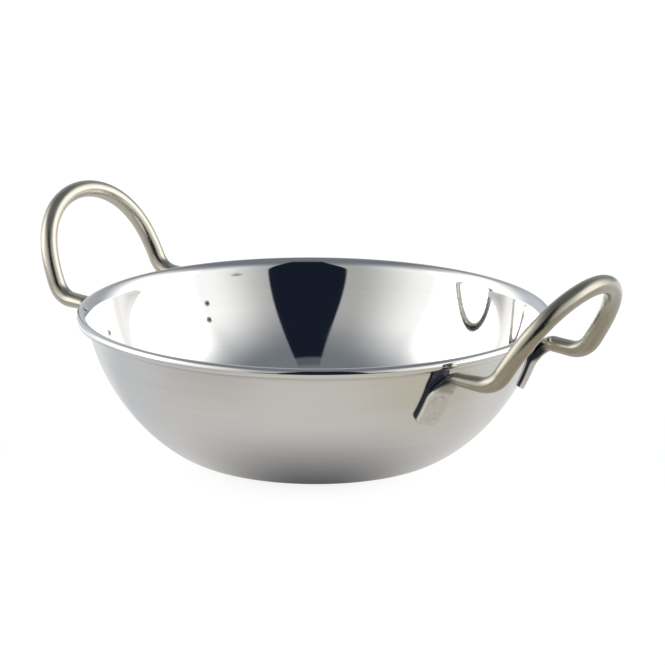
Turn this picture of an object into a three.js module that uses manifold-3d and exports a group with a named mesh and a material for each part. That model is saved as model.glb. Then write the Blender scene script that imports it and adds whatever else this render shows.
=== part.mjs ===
// A balti dish: a pressed steel bowl with a curled rim, and two wire handles spot-welded to its wall.
// Millimetres, +Z up, origin under the middle of the base, handles along X.
import * as THREE from "three";
import { mergeVertices } from "three/addons/utils/BufferGeometryUtils.js";
import Module from "manifold-3d";

// Bowl
const RIM_DIAMETER = 150; // over the curl
const HEIGHT = 45; // base to the top of the curl
const BASE_DIAMETER = 82; // flat part of the underside
const SHEET = 0.8;
const BEAD = 3.1; // outside diameter of the curl
const CURL_START = 135; // degrees round the curl, from +X
const CURL_END = -145;
const WALL_INSET = 3.6; // from the outside of the curl in to the outside of the wall below it
const WALL_DROP = 3.6; // from the top of the curl down to where the wall begins to flare
const WALL_LEAN = 11.1; // degrees from upright, at the top of the wall
const WALL_PULL = 28.1; // how far the wall keeps to that lean
const BASE_PULL = 3.1; // how far the base's edge stays nearly flat
const FLARE_PULL = 1.2; // how gently the wall turns into the curl

// Handles
const WIRE = 5.6;
const FOOT_WIDTH = 8.6; // the wire's end, hammered flat
const FOOT_THICKNESS = 2.2;
const FOOT_CORNER = 2.5; // corner radius of the flat end
const FOOT_TAIL = 2.4; // height of flat wire below the lower weld
const FOOT_HEAD = 0.2; // the same above the upper weld, before the wire bends
const FOOT_GAP = 0.3; // between the wall and the flat wire
const NECK_LENGTH = 9; // wire over which the flat foot narrows to the leg
const LEG_FLATNESS = 0.38; // the leg's share of the foot's flatness
const TAPER_LENGTH = 28; // wire from the flat foot to where it is round
const LEG_REACH = 8.3; // from the rim's radius out to the low bend
const BEND_PULL = 5; // wire on each side of the low bend's corner
const LOOP_SPREAD = 25.7; // half the distance between the two legs
const LOOP_LENGTH = 33; // low bend to the top of the loop, along its slope
const LOOP_FULLNESS = 2.7; // 2 is an ellipse, more is squarer at the shoulders

// Welds
const WELD = 2.2; // diameter of a spot weld
const WELD_PITCH = 5.3; // upper weld to lower weld
const WELD_BITE = 1.2; // depth of a weld in the foot
const WELD_CLEARANCE = 0.2;

// The handles are bent and set by hand, so each has its own slopes and heights.
const RIGHT_SLOPE = 57.9; // degrees from level, of the loop
const RIGHT_BEND_DROP = 6.4; // rim's top down to the low bend
const RIGHT_WELD_DROP = 12.8; // rim's top down to the upper weld
const RIGHT_UPPER_SPREAD = 26.8; // half the distance between the two feet, at the upper weld
const RIGHT_LOWER_SPREAD = 27.1; // the same, at the lower weld
const RIGHT_CROWN = -52; // degrees, where the wire passes the curl: 0 is outside it and -90 under it
const RIGHT_CROWN_GAP = 1.6; // between the curl and the wire there
const RIGHT_ARCH_PULLS = [3.5, 3]; // how gently the foot turns into the arch, and the arch into the leg
const LEFT_SLOPE = 66.1;
const LEFT_BEND_DROP = 3.6;
const LEFT_WELD_DROP = 12.8;
const LEFT_UPPER_SPREAD = 25.7;
const LEFT_LOWER_SPREAD = 24.5;
const LEFT_CROWN = -30;
const LEFT_CROWN_GAP = 1.1;
const LEFT_ARCH_PULLS = [2.2, 2.2];

// A handle's turn is in degrees about the bowl's axis, from +X.
const HANDLES = [
  {
    name: "right",
    turn: 0,
    loopSlope: RIGHT_SLOPE,
    bendDrop: RIGHT_BEND_DROP,
    weldDrop: RIGHT_WELD_DROP,
    weldSpread: [RIGHT_UPPER_SPREAD, RIGHT_LOWER_SPREAD],
    crownAngle: RIGHT_CROWN,
    crownGap: RIGHT_CROWN_GAP,
    archPulls: RIGHT_ARCH_PULLS,
  },
  {
    name: "left",
    turn: 180,
    loopSlope: LEFT_SLOPE,
    bendDrop: LEFT_BEND_DROP,
    weldDrop: LEFT_WELD_DROP,
    weldSpread: [LEFT_UPPER_SPREAD, LEFT_LOWER_SPREAD],
    crownAngle: LEFT_CROWN,
    crownGap: LEFT_CROWN_GAP,
    archPulls: LEFT_ARCH_PULLS,
  },
];

// Facets
const ROUND_STEPS = 56; // round the bowl
const CURVE_STEPS = 12; // along each curve of the bowl's profile
const RING_STEPS = 12; // round the wire
const ARCH_STEPS = 6;
const BEND_STEPS = 5;
const LOOP_STEPS = 13; // along half a loop
const WELD_STEPS = 16; // round a weld
const FOOT_HEIGHT = FOOT_TAIL + WELD_PITCH + FOOT_HEAD;
const FOOT_STATIONS = [0, 0.5, 1.5, FOOT_CORNER, FOOT_HEIGHT / 2, 0.75 * FOOT_HEIGHT, FOOT_HEIGHT]; // heights on the wall

const RIM_RADIUS = RIM_DIAMETER / 2;
const BASE_RADIUS = BASE_DIAMETER / 2;
const LEG_THICKNESS = THREE.MathUtils.lerp(WIRE, FOOT_THICKNESS, LEG_FLATNESS);
const ALONG_Y = new THREE.Vector3(0, 1, 0);

const wasm = await Module();
wasm.setup();

const polished = new THREE.MeshStandardMaterial({ color: 0xcfcfcd, metalness: 1, roughness: 0.1 });
const satin = new THREE.MeshStandardMaterial({ color: 0xb3a991, metalness: 1, roughness: 0.35 });
const scorched = new THREE.MeshStandardMaterial({ color: 0x4b4742, metalness: 1, roughness: 0.6 });

// A closed geometry as a solid that can be cut.
function solidOf(geometry) {
  const bare = geometry.clone();
  bare.deleteAttribute("normal");
  bare.deleteAttribute("uv");
  const merged = mergeVertices(bare, 1e-4);
  return new wasm.Manifold(
    new wasm.Mesh({
      numProp: 3,
      vertProperties: merged.attributes.position.array,
      triVerts: Uint32Array.from(merged.index.array),
    }),
  );
}

// A geometry with a solid cut out of it at each tool.
function cut(geometry, tools) {
  const made = tools.reduce((body, tool) => body.subtract(solidOf(tool)), solidOf(geometry));
  const mesh = made.getMesh();
  const result = new THREE.BufferGeometry();
  result.setAttribute("position", new THREE.BufferAttribute(mesh.vertProperties, 3));
  result.setIndex(new THREE.BufferAttribute(mesh.triVerts, 1));
  result.computeVertexNormals();
  return result;
}

function meshOf(name, geometry, material) {
  const mesh = new THREE.Mesh(geometry, material);
  mesh.name = name;
  return mesh;
}

// The middle line of the sheet, from the axis along the base, up the wall and round the curl.
function sheetLine() {
  const lean = THREE.MathUtils.degToRad(WALL_LEAN);
  const rise = new THREE.Vector2(Math.sin(lean), Math.cos(lean));
  const inward = new THREE.Vector2(-rise.y, rise.x);
  const wallTop = new THREE.Vector2(RIM_RADIUS - WALL_INSET, HEIGHT - WALL_DROP);
  wallTop.addScaledVector(inward, SHEET / 2);
  const start = THREE.MathUtils.degToRad(CURL_START);
  const end = THREE.MathUtils.degToRad(CURL_END);
  const centre = new THREE.Vector2(RIM_RADIUS - BEAD / 2, HEIGHT - BEAD / 2);
  const radius = BEAD / 2 - SHEET / 2;
  const spoke = new THREE.Vector2(Math.cos(start), Math.sin(start));
  const curlStart = centre.clone().addScaledVector(spoke, radius);
  const intoCurl = new THREE.Vector2(spoke.y, -spoke.x);
  const wallPull = wallTop.clone().addScaledVector(rise, -WALL_PULL);
  const flareOut = wallTop.clone().addScaledVector(rise, FLARE_PULL);
  const flareIn = curlStart.clone().addScaledVector(intoCurl, -FLARE_PULL);

  const line = new THREE.Path();
  line.moveTo(0, SHEET / 2);
  line.lineTo(BASE_RADIUS, SHEET / 2);
  line.bezierCurveTo(BASE_RADIUS + BASE_PULL, SHEET / 2, wallPull.x, wallPull.y, wallTop.x, wallTop.y);
  line.bezierCurveTo(flareOut.x, flareOut.y, flareIn.x, flareIn.y, curlStart.x, curlStart.y);
  line.absarc(centre.x, centre.y, radius, start, end, true);
  const wall = line.curves[1].getPoints(CURVE_STEPS);
  const flare = line.curves[2].getPoints(CURVE_STEPS / 3);
  const curl = line.curves[3].getPoints(CURVE_STEPS);
  return [new THREE.Vector2(0, SHEET / 2), ...wall, ...flare.slice(1), ...curl.slice(1)];
}

// One face of the sheet: the middle line moved by half a sheet to its left (1) or right (-1).
function sheetFace(line, side) {
  return line.map((point, i) => {
    const before = line[Math.max(i - 1, 0)];
    const after = line[Math.min(i + 1, line.length - 1)];
    const run = after.clone().sub(before).normalize();
    return new THREE.Vector2(point.x - (run.y * side * SHEET) / 2, point.y + (run.x * side * SHEET) / 2);
  });
}

const middle = sheetLine();
const outside = sheetFace(middle, -1);
const inside = sheetFace(middle, 1);

// The wall's outside radius and its lean from upright, at a height.
function wallAt(height) {
  const i = outside.findIndex((point) => point.y > height);
  const [below, above] = [outside[i - 1], outside[i]];
  const run = above.clone().sub(below);
  return {
    radius: below.x + (run.x * (height - below.y)) / run.y,
    lean: Math.atan2(run.x, run.y),
  };
}

// Where a weld crosses the wall's outside, for a handle on +X, with the wall's outward direction there.
// Row 0 is the upper weld and row 1 the lower; a part of a row is a place between or beyond them.
function weldSpot(handle, side, row) {
  const height = HEIGHT - handle.weldDrop - row * WELD_PITCH;
  const { radius, lean } = wallAt(height);
  const spread = THREE.MathUtils.lerp(handle.weldSpread[0], handle.weldSpread[1], row);
  const round = Math.asin((side * spread) / radius);
  const outward = new THREE.Vector3(Math.cos(round), Math.sin(round), -Math.tan(lean)).normalize();
  return { at: new THREE.Vector3(radius * Math.cos(round), radius * Math.sin(round), height), outward };
}

// A cylinder along a weld, between two distances outward from the wall's outside.
function weldPin(spot, radius, from, to) {
  const pin = new THREE.CylinderGeometry(radius, radius, to - from, WELD_STEPS);
  pin.translate(0, (from + to) / 2, 0);
  pin.applyQuaternion(new THREE.Quaternion().setFromUnitVectors(ALONG_Y, spot.outward));
  return pin.translate(spot.at.x, spot.at.y, spot.at.z);
}

// The point where the middle of the wire passes the curl.
function crownOf(handle) {
  const angle = THREE.MathUtils.degToRad(handle.crownAngle);
  const distance = BEAD / 2 + handle.crownGap + LEG_THICKNESS / 2;
  const radius = RIM_RADIUS - BEAD / 2 + distance * Math.cos(angle);
  const spread = (handle.weldSpread[0] + LOOP_SPREAD) / 2;
  const height = HEIGHT - BEAD / 2 + distance * Math.sin(angle);
  return new THREE.Vector3(Math.sqrt(radius ** 2 - spread ** 2), spread, height);
}

// The middle of the wire at each station of half a handle, from the foot's tail to the top of the loop.
function halfLine(handle) {
  const foot = FOOT_STATIONS.map((height) => {
    const { at, outward } = weldSpot(handle, 1, 1 + (FOOT_TAIL - height) / WELD_PITCH);
    return at.addScaledVector(outward, FOOT_GAP + FOOT_THICKNESS / 2);
  });
  const head = foot.pop();
  const rise = head.clone().sub(foot.at(-1)).normalize();
  const crown = crownOf(handle);
  const corner = new THREE.Vector3(RIM_RADIUS + LEG_REACH, LOOP_SPREAD, HEIGHT - handle.bendDrop);
  const out = corner.clone().sub(crown).normalize();

  const arch = new THREE.CubicBezierCurve3(
    head,
    head.clone().addScaledVector(rise, handle.archPulls[0]),
    crown.clone().addScaledVector(out, -handle.archPulls[1]),
    crown,
  );
  const loop = loopLine(handle, corner);
  const next = loop.findIndex((point) => point.distanceTo(corner) > BEND_PULL);
  const legEnd = corner.clone().addScaledVector(out, -BEND_PULL);
  const slope = loop[next].clone().sub(corner).normalize();
  const bendEnd = corner.clone().addScaledVector(slope, BEND_PULL);
  const bend = new THREE.QuadraticBezierCurve3(legEnd, corner, bendEnd);
  return [...foot, ...arch.getPoints(ARCH_STEPS), ...bend.getPoints(BEND_STEPS), ...loop.slice(next)];
}

// Half a loop: its half width falls along the slope by the formula of a squared ellipse.
function loopLine(handle, corner) {
  const slope = THREE.MathUtils.degToRad(handle.loopSlope);
  return Array.from({ length: LOOP_STEPS + 1 }, (_, i) => {
    const share = Math.sin((Math.PI / 2) * (i / LOOP_STEPS));
    const reach = LOOP_LENGTH * share;
    const spread = i < LOOP_STEPS ? LOOP_SPREAD * Math.sqrt(1 - share ** LOOP_FULLNESS) : 0;
    const rise = reach * Math.sin(slope);
    return new THREE.Vector3(corner.x + reach * Math.cos(slope), spread, corner.z + rise);
  });
}

// The wire's outline round one station: flat is 1 at the foot and 0 where the wire is round.
function wireRing(at, across, outward, flat, narrowing) {
  const width = THREE.MathUtils.lerp(WIRE, FOOT_WIDTH, flat) / 2 - narrowing;
  const thickness = THREE.MathUtils.lerp(WIRE, FOOT_THICKNESS, flat) / 2;
  const power = THREE.MathUtils.lerp(1, 0.4, THREE.MathUtils.smoothstep(flat, LEG_FLATNESS, 1));
  return Array.from({ length: RING_STEPS }, (_, i) => {
    const angle = ((i + 0.5) / RING_STEPS) * 2 * Math.PI;
    const x = Math.sign(Math.cos(angle)) * Math.abs(Math.cos(angle)) ** power;
    const y = Math.sign(Math.sin(angle)) * Math.abs(Math.sin(angle)) ** power;
    return at.clone().addScaledVector(across, x * width).addScaledVector(outward, y * thickness);
  });
}

// How flat the wire is at a length past the foot: 1 narrows to the leg's share over the neck, and then to 0.
function flatness(past) {
  const neck = 1 - THREE.MathUtils.smoothstep(past, 0, NECK_LENGTH);
  const leg = 1 - THREE.MathUtils.smoothstep(past, NECK_LENGTH, TAPER_LENGTH);
  return neck * (1 - LEG_FLATNESS) + leg * LEG_FLATNESS;
}

// Rings along half a handle. The outward direction starts as the wall's and is carried along without twist.
function halfRings(handle) {
  const line = halfLine(handle);
  const outward = weldSpot(handle, 1, 1 + FOOT_TAIL / WELD_PITCH).outward;
  const footLength = line[FOOT_STATIONS.length - 1].distanceTo(line[0]);
  let travelled = 0;
  return line.map((at, i) => {
    const before = line[Math.max(i - 1, 0)];
    const after = line[Math.min(i + 1, line.length - 1)];
    const last = i === line.length - 1;
    const run = last ? ALONG_Y.clone().negate() : after.clone().sub(before).normalize();
    travelled += at.distanceTo(before);
    outward.addScaledVector(run, -outward.dot(run)).normalize();
    const flat = flatness(travelled - footLength);
    const short = Math.max(FOOT_CORNER - travelled, 0);
    const narrowing = FOOT_CORNER - Math.sqrt(FOOT_CORNER ** 2 - short ** 2);
    return wireRing(at, run.clone().cross(outward), outward, flat, narrowing);
  });
}

// A closed solid through rings of points that all run the same way round.
function skin(rings) {
  const count = rings[0].length;
  const last = (rings.length - 1) * count;
  const faces = [];
  for (let start = 0; start < last; start += count) {
    for (let i = 0; i < count; i++) {
      const [a, b] = [start + i, start + ((i + 1) % count)];
      faces.push(a, b + count, b, a, a + count, b + count);
    }
  }
  for (let i = 1; i + 1 < count; i++) {
    faces.push(0, i, i + 1, last, last + i + 1, last + i);
  }
  return new THREE.BufferGeometry().setFromPoints(rings.flat()).setIndex(faces);
}

function handleGeometry(handle, spots) {
  const half = halfRings(handle);
  const mirror = (point) => new THREE.Vector3(point.x, -point.y, point.z);
  const otherHalf = half.slice(0, -1).map((ring) => ring.map(mirror));
  const wire = skin([...half, ...otherHalf.toReversed()]);
  const pocketRadius = WELD / 2 + WELD_CLEARANCE;
  const pocketEnd = FOOT_GAP + WELD_BITE + WELD_CLEARANCE;
  return cut(wire, spots.map((spot) => weldPin(spot, pocketRadius, 0, pocketEnd)));
}

// A handle with its four welds, turned to its side of the bowl.
function handleGroup(handle) {
  const group = new THREE.Group();
  group.rotation.z = THREE.MathUtils.degToRad(handle.turn);
  const faces = Math.cos(group.rotation.z);
  const welds = [-1, 1].flatMap((side) =>
    ["upper", "lower"].map((level, row) => ({
      name: `weld_${handle.name}_${side * faces < 0 ? "front" : "back"}_${level}`,
      spot: weldSpot(handle, side, row),
    })),
  );
  const wire = handleGeometry(handle, welds.map((weld) => weld.spot));
  group.add(meshOf(`handle_${handle.name}`, wire, satin));
  for (const { name, spot } of welds) {
    group.add(meshOf(name, weldPin(spot, WELD / 2, -SHEET, FOOT_GAP + WELD_BITE), scorched));
  }
  return group;
}

// The bowl, with a hole for each weld that goes through its wall.
function bowlMesh() {
  const section = [...outside, ...inside.toReversed()];
  const shell = new THREE.LatheGeometry(section, ROUND_STEPS).rotateX(Math.PI / 2);
  const holes = HANDLES.flatMap((handle) =>
    [-1, 1].flatMap((side) =>
      [0, 1].map((row) => {
        const hole = weldPin(weldSpot(handle, side, row), WELD / 2 + WELD_CLEARANCE, -3 * SHEET, SHEET);
        return hole.rotateZ(THREE.MathUtils.degToRad(handle.turn));
      }),
    ),
  );
  return meshOf("bowl", cut(shell, holes), polished);
}

const dish = new THREE.Group();
dish.add(bowlMesh(), ...HANDLES.map(handleGroup));

export default dish;
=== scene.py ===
"""A balti dish: a pressed and polished steel bowl with a curled rim, and two satin wire handles spot-welded to it.

The file is laid out as an add-on and is run as a script. Lengths are in metres, +Z is up, the origin is under the
middle of the base and the handles lie along X. Each piece is a surface worked out with numpy.
"""

import math

import bpy
import numpy as np
from mathutils import Matrix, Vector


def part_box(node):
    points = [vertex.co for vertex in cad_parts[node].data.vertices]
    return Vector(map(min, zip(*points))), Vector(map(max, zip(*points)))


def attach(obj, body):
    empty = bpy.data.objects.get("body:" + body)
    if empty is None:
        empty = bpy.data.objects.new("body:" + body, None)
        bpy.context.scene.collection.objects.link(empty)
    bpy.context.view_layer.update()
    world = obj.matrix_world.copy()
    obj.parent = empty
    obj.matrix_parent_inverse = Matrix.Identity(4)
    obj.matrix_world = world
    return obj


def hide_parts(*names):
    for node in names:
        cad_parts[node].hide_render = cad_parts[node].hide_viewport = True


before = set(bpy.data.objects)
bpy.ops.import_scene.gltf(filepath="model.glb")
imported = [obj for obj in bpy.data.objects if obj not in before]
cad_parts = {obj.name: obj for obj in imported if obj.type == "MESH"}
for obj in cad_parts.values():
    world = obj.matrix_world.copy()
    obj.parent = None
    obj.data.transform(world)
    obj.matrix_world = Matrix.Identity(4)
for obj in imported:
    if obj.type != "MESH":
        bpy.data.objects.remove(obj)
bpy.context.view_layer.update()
RIM_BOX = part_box("bowl")

bl_info = {
    "name": "Balti dish",
    "version": (1, 0, 0),
    "blender": (4, 5, 0),
    "location": "View3D > Sidebar > Dish",
    "description": "Builds a polished steel balti dish with two wire handles, and a white table to show it on",
    "category": "Add Mesh",
}

BODY = "root"
MM = 0.001

# Bowl: how the sheet runs from the base to the rim
WALL_INSET = 3.6 * MM
WALL_DROP = 3.6 * MM
WALL_LEAN = math.radians(11.1)
WALL_PULL = 28.1 * MM
BASE_PULL = 3.1 * MM
FLARE_PULL = 1.2 * MM
CURL_START = math.radians(135)
CURL_END = math.radians(-145)
POLISH_RISE = 1.2 * MM
# LIP_SHADE is the width of the painted shade band on the outside wall just below the curl
LIP_SHADE = 0.7 * MM

# Steps of the surfaces: round the bowl, along each stretch of its profile, and round and along the wire
ROUND_STEPS = 288
LEVEL_STEPS = 26
WALL_STEPS = 76
FLARE_STEPS = 14
CURL_STEPS = 44
EDGE_STEPS = 9
WIRE_ROUND_STEPS = 56
WIRE_STEP = 0.33 * MM
FOOT_STEPS = 14
ARCH_STEPS = 60
BEND_STEPS = 40
LOOP_STEPS = 200
TAIL_STEPS = 8
WELD_ROUND_STEPS = 40
WELD_STEPS = 14

# Handles: how the wire leaves the wall and turns into the loop
FOOT_CORNER = 2.5 * MM
FOOT_EDGE = 0.7 * MM
FOOT_TAIL = 2.4 * MM
FOOT_HEAD = 0.2 * MM
FOOT_GAP = -0.15 * MM
FOOT_BEVEL = 0.5 * MM
NECK_LENGTH = 9 * MM
TAPER_LENGTH = 28 * MM
LEG_FLATNESS = 0.38
LEG_REACH = 8.3 * MM
BEND_PULL = 5 * MM
LOOP_FULLNESS = 2.7
LOOP_TURN = 0.4

# Hammered bar: the shares of a quarter turn that its narrow side, its bevel and its broad face take
BAR_SIDE = 0.22
BAR_BEVEL = 0.38
BAR_FACE = 0.4
# BRIGHT_EDGE is the width of the painted highlight along the foot's outer bevel
BRIGHT_EDGE = 0.13
BEVEL_SHARE = 0.9
HAMMERED_FROM = 0.4
FOOT_FLATNESS = (0.75, 1)
FRONT_FACE = (0.6, 0.95)

# Painted shade where a foot meets the wall: where along the wire, and how far round its section, the near-black
# colour reaches
CREVICE_INSET = 1 * MM
CREVICE_REACH = 2.5 * MM
CREVICE_INNER = 0.3
CREVICE_EDGE = 0.08
CREVICE_FOOT = 0.2
CREVICE_BLEND = 0.24

# Welds
WELD_PITCH = 5.3 * MM
WELD_BITE = 1.2 * MM
WELD_CROWN = 0.1 * MM
WELD_DIMPLE = 0.35
WELD_RING = 1.3
DENT_DEPTH = 0.14 * MM
DENT_REACH = 1.9 * MM
MARK_WIDTH = 0.5 * MM
MARK_FADE = 2 * MM

# Dark rings on a foot's front round the welds, partly dull weld marks and partly painted shade at the dents' edges:
# row, radius, how far below the weld the ring starts, and strength
WELD_MARK_SHADES = ((0, 2.3 * MM, 0.4 * MM, 1.0), (1, 1.3 * MM, 4 * MM, 0.6))

# The handles are bent and set by hand, so each has its own slopes and heights
HANDLES = {
    "right": {
        "turn": 0.0,
        "slope": math.radians(57.9),
        "bend_drop": 6.4 * MM,
        "weld_drop": 12.8 * MM,
        "weld_spread": (26.8 * MM, 27.1 * MM),
        "crown_angle": math.radians(-52),
        "crown_gap": 1.6 * MM,
        "arch_pulls": (3.5 * MM, 3 * MM),
    },
    "left": {
        "turn": math.pi,
        "slope": math.radians(66.1),
        "bend_drop": 3.6 * MM,
        "weld_drop": 12.8 * MM,
        "weld_spread": (25.7 * MM, 24.5 * MM),
        "crown_angle": math.radians(-30),
        "crown_gap": 1.1 * MM,
        "arch_pulls": (2.2 * MM, 2.2 * MM),
    },
}

# Camera, fitted to the photograph's outline
CAMERA_TURN = math.radians(35.91)
CAMERA_REACH = 0.79434
CAMERA_HEIGHT = 0.2393
CAMERA_YAW = 0.0072
CAMERA_PITCH = 0.2492
CAMERA_ROLL = 0.0067
CAMERA_LENS = 140.3
SENSOR_WIDTH = 36

# The studio's own directions: its front is where the photograph was taken from
FRONT = (math.sin(CAMERA_TURN), -math.cos(CAMERA_TURN), 0)
RIGHT = (math.cos(CAMERA_TURN), math.sin(CAMERA_TURN), 0)

# Painted reflection where steel is seen in steel: the bowl's colour at the second bounce on each side, and a
# painted glow that stands for all later bounces
SECOND_LEFT = (0.68, 0.675, 0.665)
SECOND_RIGHT = (0.97, 0.955, 0.935)
LATER_GLOW = (0.7, 0.69, 0.67)

# Painted highlight on a foot's bevel, and straw rim of a weld
BEVEL_HIGHLIGHT = (0.97, 0.97, 0.96)
WELD_RIM_COLOUR = (0.62, 0.6, 0.56)

# Tones of the table that the steel sees, by side, which are painted light on the table
TABLE_RIGHT = (0.595, 0.555, 0.475)
TABLE_FAR_RIGHT = (0.73, 0.725, 0.705)
TABLE_LEFT = (0.56, 0.545, 0.52)
TABLE_FAR_LEFT = (0.63, 0.64, 0.655)
TABLE_BEHIND = (0.8, 0.81, 0.825)
TABLE_FAR_BEHIND = (1.12, 1.12, 1.12)
TABLE_REACH = 4
TABLE_DROP = 0.2 * MM
TABLE_GREY = (0.3, 0.3, 0.3)
TABLE_WHITE = 0.85

# Low backdrop on each side
BACKDROP_LEFT = (0.64, 0.67, 0.71)
BACKDROP_RIGHT = (0.42, 0.45, 0.485)


class DishSizes(bpy.types.PropertyGroup):
    """Sizes of the bowl, the handles and the welds."""

    rim_diameter: bpy.props.FloatProperty(
        name="Rim diameter", description="Across the outside of the curl",
        default=0.15, unit="LENGTH")
    height: bpy.props.FloatProperty(
        name="Height", description="Base to the top of the curl",
        default=RIM_BOX[1].z, unit="LENGTH")
    base_diameter: bpy.props.FloatProperty(
        name="Base diameter", description="Flat part of the underside",
        default=0.082, unit="LENGTH")
    sheet: bpy.props.FloatProperty(
        name="Sheet", description="Thickness of the bowl's steel",
        default=0.0008, unit="LENGTH")
    bead: bpy.props.FloatProperty(
        name="Curl", description="Outside diameter of the rim's curl",
        default=0.0031, unit="LENGTH")
    wire: bpy.props.FloatProperty(
        name="Wire", description="Diameter of the handles' wire",
        default=0.0056, unit="LENGTH")
    foot_width: bpy.props.FloatProperty(
        name="Foot width", description="Width of the wire's hammered end",
        default=0.0086, unit="LENGTH")
    foot_thickness: bpy.props.FloatProperty(
        name="Foot thickness", description="Thickness of the wire's hammered end",
        default=0.0022, unit="LENGTH")
    loop_spread: bpy.props.FloatProperty(
        name="Loop spread", description="Half the distance between a handle's two legs",
        default=0.0257, unit="LENGTH")
    loop_length: bpy.props.FloatProperty(
        name="Loop length", description="Low bend to the top of the loop, along its slope",
        default=0.033, unit="LENGTH")
    weld: bpy.props.FloatProperty(
        name="Weld", description="Diameter of a spot weld",
        default=0.0022, unit="LENGTH")


class DishFinish(bpy.types.PropertyGroup):
    """Colours and polish of the steel."""

    bowl_colour: bpy.props.FloatVectorProperty(
        name="Bowl", description="Colour of the bowl's steel",
        default=(0.80, 0.795, 0.785), size=3, min=0, max=1, subtype="COLOR")
    wire_colour: bpy.props.FloatVectorProperty(
        name="Wire", description="Colour of the right handle's steel",
        default=(0.455, 0.428, 0.352), size=3, min=0, max=1, subtype="COLOR")
    # Painted light: the left handle's colour is painted paler, as if more light falls on that side
    left_wire_colour: bpy.props.FloatVectorProperty(
        name="Left wire", description="Colour of the left handle's steel, which has a brighter finish",
        default=(0.545, 0.512, 0.438), size=3, min=0, max=1, subtype="COLOR")
    foot_colour: bpy.props.FloatVectorProperty(
        name="Foot", description="Colour of the wire's hammered ends",
        default=(0.74, 0.735, 0.72), size=3, min=0, max=1, subtype="COLOR")
    # Painted shade: the near-black colour painted where a foot meets the wall
    crevice_shade_colour: bpy.props.FloatVectorProperty(
        name="Crevice", description="Colour of the dark steel between a foot and the wall",
        default=(0.03, 0.034, 0.045), size=3, min=0, max=1, subtype="COLOR")
    weld_colour: bpy.props.FloatVectorProperty(
        name="Weld", description="Colour of the heat-marked welds",
        default=(0.07, 0.06, 0.05), size=3, min=0, max=1, subtype="COLOR")
    inside_roughness: bpy.props.FloatProperty(
        name="Inside roughness", description="Roughness of the mirror polish inside the bowl",
        default=0.05, min=0, max=1, subtype="FACTOR")
    outside_roughness: bpy.props.FloatProperty(
        name="Outside roughness", description="Roughness of the satin polish outside the bowl",
        default=0.11, min=0, max=1, subtype="FACTOR")
    wire_roughness: bpy.props.FloatProperty(
        name="Wire roughness", description="Roughness of the drawn wire",
        default=0.2, min=0, max=1, subtype="FACTOR")


class DishStage(bpy.types.PropertyGroup):
    """The white table and the studio round it."""

    # The table's colours as the steel sees them: painted light on the table
    floor_colour: bpy.props.FloatVectorProperty(
        name="Table", description="Colour of the table",
        default=(0.66, 0.645, 0.625), size=3, min=0, max=1, subtype="COLOR")
    front_colour: bpy.props.FloatVectorProperty(
        name="Table front", description="Colour of the table well in front of the dish",
        default=(0.64, 0.595, 0.51), size=3, min=0, max=1, subtype="COLOR")
    shadow: bpy.props.FloatProperty(
        name="Table shadow", description="Depth of the shadow that the steel sees in front of the base",
        default=0.88, min=0, max=1, subtype="FACTOR")
    front_light: bpy.props.FloatProperty(
        name="Front light", description="Strength of the light beside the dark opening in front",
        default=0.485, min=0)
    side_light: bpy.props.FloatProperty(
        name="Side light", description="Strength of the light half way round to each side",
        default=1.22, min=0)
    lamp_light: bpy.props.FloatProperty(
        name="Lamps", description="Strength of the soft lamp on each side",
        default=2.3, min=0)
    back_colour: bpy.props.FloatVectorProperty(
        name="Backdrop", description="Light from behind the dish",
        default=(0.38, 0.40, 0.43), size=3, min=0, max=1, subtype="COLOR")
    top_colour: bpy.props.FloatVectorProperty(
        name="Ceiling", description="Light from above",
        default=(0.20, 0.222, 0.248), size=3, min=0, max=1, subtype="COLOR")
    opening_colour: bpy.props.FloatVectorProperty(
        name="Opening", description="Light from the dark opening in front",
        default=(0.009, 0.0135, 0.0265), size=3, min=0, max=1, subtype="COLOR")


def bezier(points, t):
    """A Bezier curve of the second or third order: the points weighed by the Bernstein terms of t."""
    points = np.asarray(points, float)
    order = len(points) - 1
    weights = [math.comb(order, k) * t**k * (1 - t) ** (order - k) for k in range(order + 1)]
    return np.stack(weights, 1) @ points


def unit(vectors):
    """Each vector divided by its length."""
    return vectors / np.linalg.norm(vectors, axis=-1, keepdims=True)


def smoothstep(values, low, high):
    """0 below low, 1 above high and 3t^2 - 2t^3 between."""
    t = np.clip((values - low) / (high - low), 0, 1)
    return t * t * (3 - 2 * t)


def lengths_along(line):
    """Distance from the line's start to each of its points."""
    steps = np.linalg.norm(np.diff(line, axis=0), axis=1)
    return np.concatenate([[0], np.cumsum(steps)])


def put_mesh(name, points, faces, attributes):
    """A smooth mesh object from an array of points, arrays of faces and named values at the points."""
    mesh = bpy.data.meshes.new(name)
    corners = np.concatenate([part.ravel() for part in faces]).astype(np.int32)
    counts = np.concatenate([np.full(len(part), part.shape[1]) for part in faces])
    starts = np.concatenate([[0], np.cumsum(counts)[:-1]]).astype(np.int32)
    mesh.vertices.add(len(points))
    mesh.vertices.foreach_set("co", points.astype(np.float32).ravel())
    mesh.loops.add(len(corners))
    mesh.loops.foreach_set("vertex_index", corners)
    mesh.polygons.add(len(counts))
    mesh.polygons.foreach_set("loop_start", starts)
    mesh.update(calc_edges=True)
    mesh.validate()
    mesh.shade_smooth()
    for key, values in attributes.items():
        flat = values.ndim == 1
        made = mesh.attributes.new(key, "FLOAT" if flat else "FLOAT_VECTOR", "POINT")
        made.data.foreach_set("value" if flat else "vector", values.astype(np.float32).ravel())
    piece = bpy.data.objects.new(name, mesh)
    bpy.context.scene.collection.objects.link(piece)
    return piece


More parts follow.
